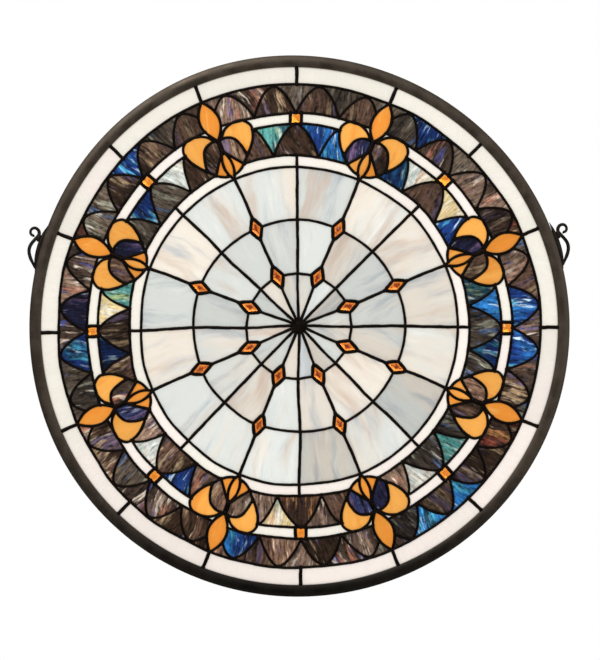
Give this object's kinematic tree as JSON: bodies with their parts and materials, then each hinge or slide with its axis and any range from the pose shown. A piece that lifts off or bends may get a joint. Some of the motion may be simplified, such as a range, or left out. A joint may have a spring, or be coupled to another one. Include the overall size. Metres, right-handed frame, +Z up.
{
  "type": "medallion window",
  "caption": "Round leaded-glass hanging window: fleurs-de-lis in fish scales round a spoked web with amber jewels, dark channel rim, two scroll hangers.",
  "frame": {"origin": "midway between the loops of the two hangers, at their middle height and in the middle of the glass's thickness", "axes": "+Z up in the plane of the window, +Y out of its back, -Y out of its front, +X to the right as seen from the front"},
  "size_m": [0.6136, 0.0082, 0.6096],
  "materials": {
    "rim_patina": "dark bronze-black patina on channel came and wire",
    "leading_patina": "soldered seams with black-brown patina",
    "cream_glass": "smooth opalescent glass, cream white",
    "field_glass": "streaky opalescent glass in umber, charcoal, mauve and blue, with cream bands",
    "milky_glass": "wispy milk-white glass with blue and tan streaks",
    "amber_glass": "smooth opalescent amber-orange glass",
    "jewel_glass": "clear cut jewel, red-orange",
    "square_jewel_glass": "clear cut square jewel, amber"
  },
  "bodies": {
    "root": {"rim": "rim_patina", "leading": "leading_patina", "hanger_left": "rim_patina", "hanger_right": "rim_patina", "field_glass": "field_glass", "web_middle_glass": "milky_glass", "web_hub_glass": "milky_glass", "border_pane_01": "cream_glass", "border_pane_02": "cream_glass", "border_pane_03": "cream_glass", "border_pane_04": "cream_glass", "border_pane_05": "cream_glass", "border_pane_06": "cream_glass", "border_pane_07": "cream_glass", "border_pane_08": "cream_glass", "border_pane_09": "cream_glass", "border_pane_10": "cream_glass", "border_pane_11": "cream_glass", "border_pane_12": "cream_glass", "border_pane_13": "cream_glass", "border_pane_14": "cream_glass", "border_pane_15": "cream_glass", "border_pane_16": "cream_glass", "fleur_de_lis_1": "amber_glass", "square_jewel_1": "square_jewel_glass", "web_jewel_outer_1": "jewel_glass", "web_jewel_inner_1": "jewel_glass", "fleur_de_lis_2": "amber_glass", "square_jewel_2": "square_jewel_glass", "web_jewel_outer_2": "jewel_glass", "web_jewel_inner_2": "jewel_glass", "fleur_de_lis_3": "amber_glass", "square_jewel_3": "square_jewel_glass", "web_jewel_outer_3": "jewel_glass", "web_jewel_inner_3": "jewel_glass", "fleur_de_lis_4": "amber_glass", "square_jewel_4": "square_jewel_glass", "web_jewel_outer_4": "jewel_glass", "web_jewel_inner_4": "jewel_glass", "fleur_de_lis_5": "amber_glass", "square_jewel_5": "square_jewel_glass", "web_jewel_outer_5": "jewel_glass", "web_jewel_inner_5": "jewel_glass", "fleur_de_lis_6": "amber_glass", "square_jewel_6": "square_jewel_glass", "web_jewel_outer_6": "jewel_glass", "web_jewel_inner_6": "jewel_glass", "fleur_de_lis_7": "amber_glass", "square_jewel_7": "square_jewel_glass", "web_jewel_outer_7": "jewel_glass", "web_jewel_inner_7": "jewel_glass", "fleur_de_lis_8": "amber_glass", "square_jewel_8": "square_jewel_glass", "web_jewel_outer_8": "jewel_glass", "web_jewel_inner_8": "jewel_glass"}
  },
  "joints": []
}
